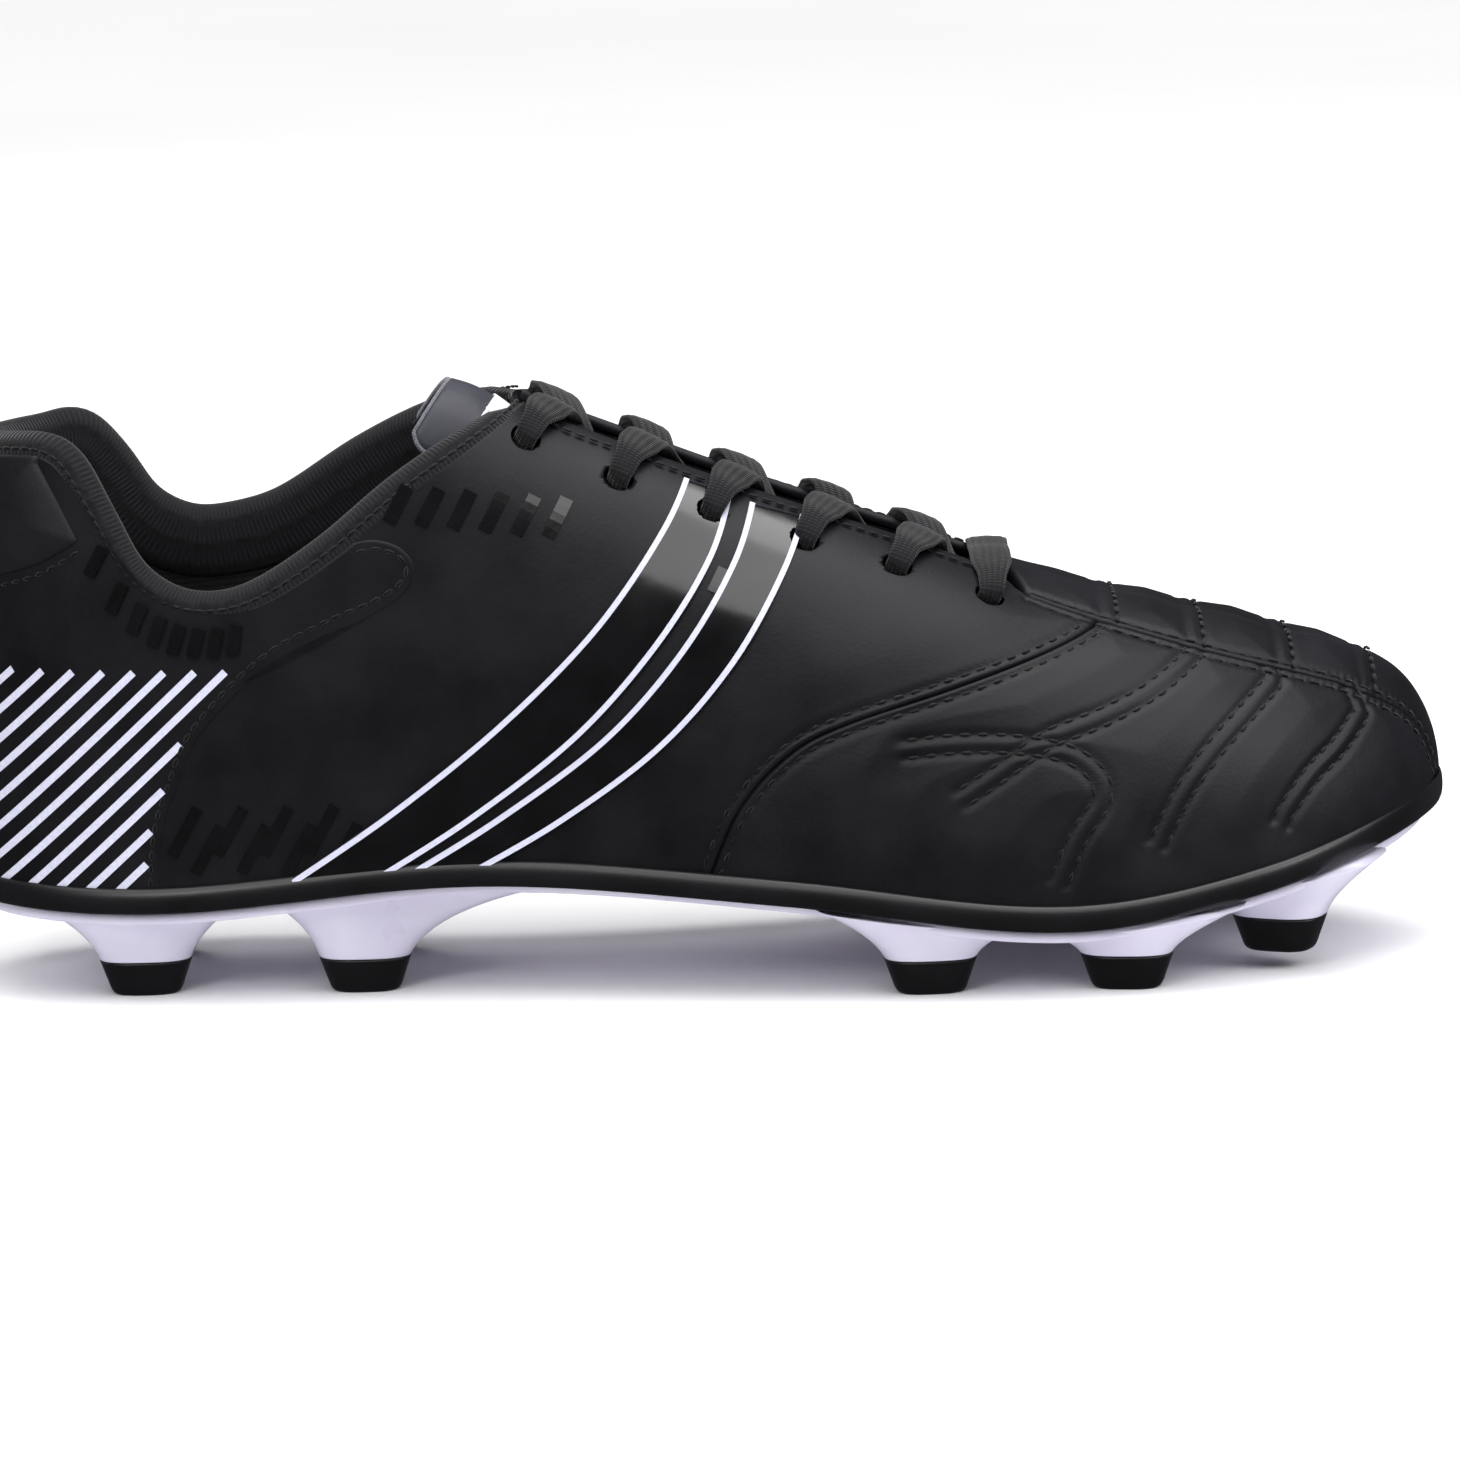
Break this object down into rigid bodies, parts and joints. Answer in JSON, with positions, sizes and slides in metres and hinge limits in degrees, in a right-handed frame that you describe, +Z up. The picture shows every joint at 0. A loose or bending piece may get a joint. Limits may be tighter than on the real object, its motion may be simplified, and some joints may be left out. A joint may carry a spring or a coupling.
{
  "type": "soccer cleat",
  "caption": "Low-cut lace-up soccer cleat for the right foot: layered black upper, quilted toe, flat lace and a two-colour moulded sole with tapered studs.",
  "frame": {"origin": "middle of the box in plan, on the ground plane that the stud tips stand on", "axes": "+X from the heel to the toe, -Y to the outer side of the right shoe, +Z up"},
  "size_m": [0.2866, 0.0958, 0.113],
  "materials": {
    "grain_synthetic": "satin",
    "gloss_film": "gloss",
    "mesh_textile": "matte",
    "tongue_synthetic": "satin",
    "foam": "matte",
    "stiffener": "matte",
    "webbing": "matte",
    "aglet_plastic": "gloss",
    "white_ribbon": "matte",
    "white_tpu": "satin",
    "black_tpu": "satin"
  },
  "bodies": {
    "shoe": {"aglet_inner": "aglet_plastic", "aglet_outer": "aglet_plastic", "collar_binding": "mesh_textile", "collar_padding": "foam", "eyestay_inner": "stiffener", "eyestay_outer": "stiffener", "heel_counter": "stiffener", "heel_foxing": "grain_synthetic", "heel_tab": "grain_synthetic", "insole_board": "stiffener", "lace": "webbing", "lace_end_inner": "webbing", "lace_end_outer": "webbing", "lining": "mesh_textile", "quarter_inner": "grain_synthetic", "quarter_outer": "grain_synthetic", "quarter_padding_inner": "foam", "quarter_padding_outer": "foam", "side_band_inner": "gloss_film", "side_band_outer": "gloss_film", "sockliner": "mesh_textile", "sole_plate": "white_tpu", "sole_rim": "black_tpu", "stud_tip_inner_ball_front": "black_tpu", "stud_tip_inner_ball_rear": "black_tpu", "stud_tip_inner_heel_front": "black_tpu", "stud_tip_inner_heel_rear": "black_tpu", "stud_tip_inner_toe": "black_tpu", "stud_tip_outer_ball_front": "black_tpu", "stud_tip_outer_ball_rear": "black_tpu", "stud_tip_outer_heel_front": "black_tpu", "stud_tip_outer_heel_rear": "black_tpu", "stud_tip_outer_toe": "black_tpu", "toe_puff": "stiffener", "vamp_inner": "grain_synthetic", "vamp_outer": "grain_synthetic", "vamp_padding": "foam", "vamp_top": "grain_synthetic"},
    "tongue": {"tongue_cover": "tongue_synthetic", "tongue_label": "white_ribbon", "tongue_lining": "mesh_textile", "tongue_padding": "foam"}
  },
  "joints": [
    {"name": "tongue_swing", "type": "hinge", "parent": "shoe", "child": "tongue", "pos_m": [0.0585, -0.001, 0.0655], "axis": [0, 1, 0], "range_deg": [-5, 0], "stiffness_Nm_per_rad": 0.8}
  ]
}
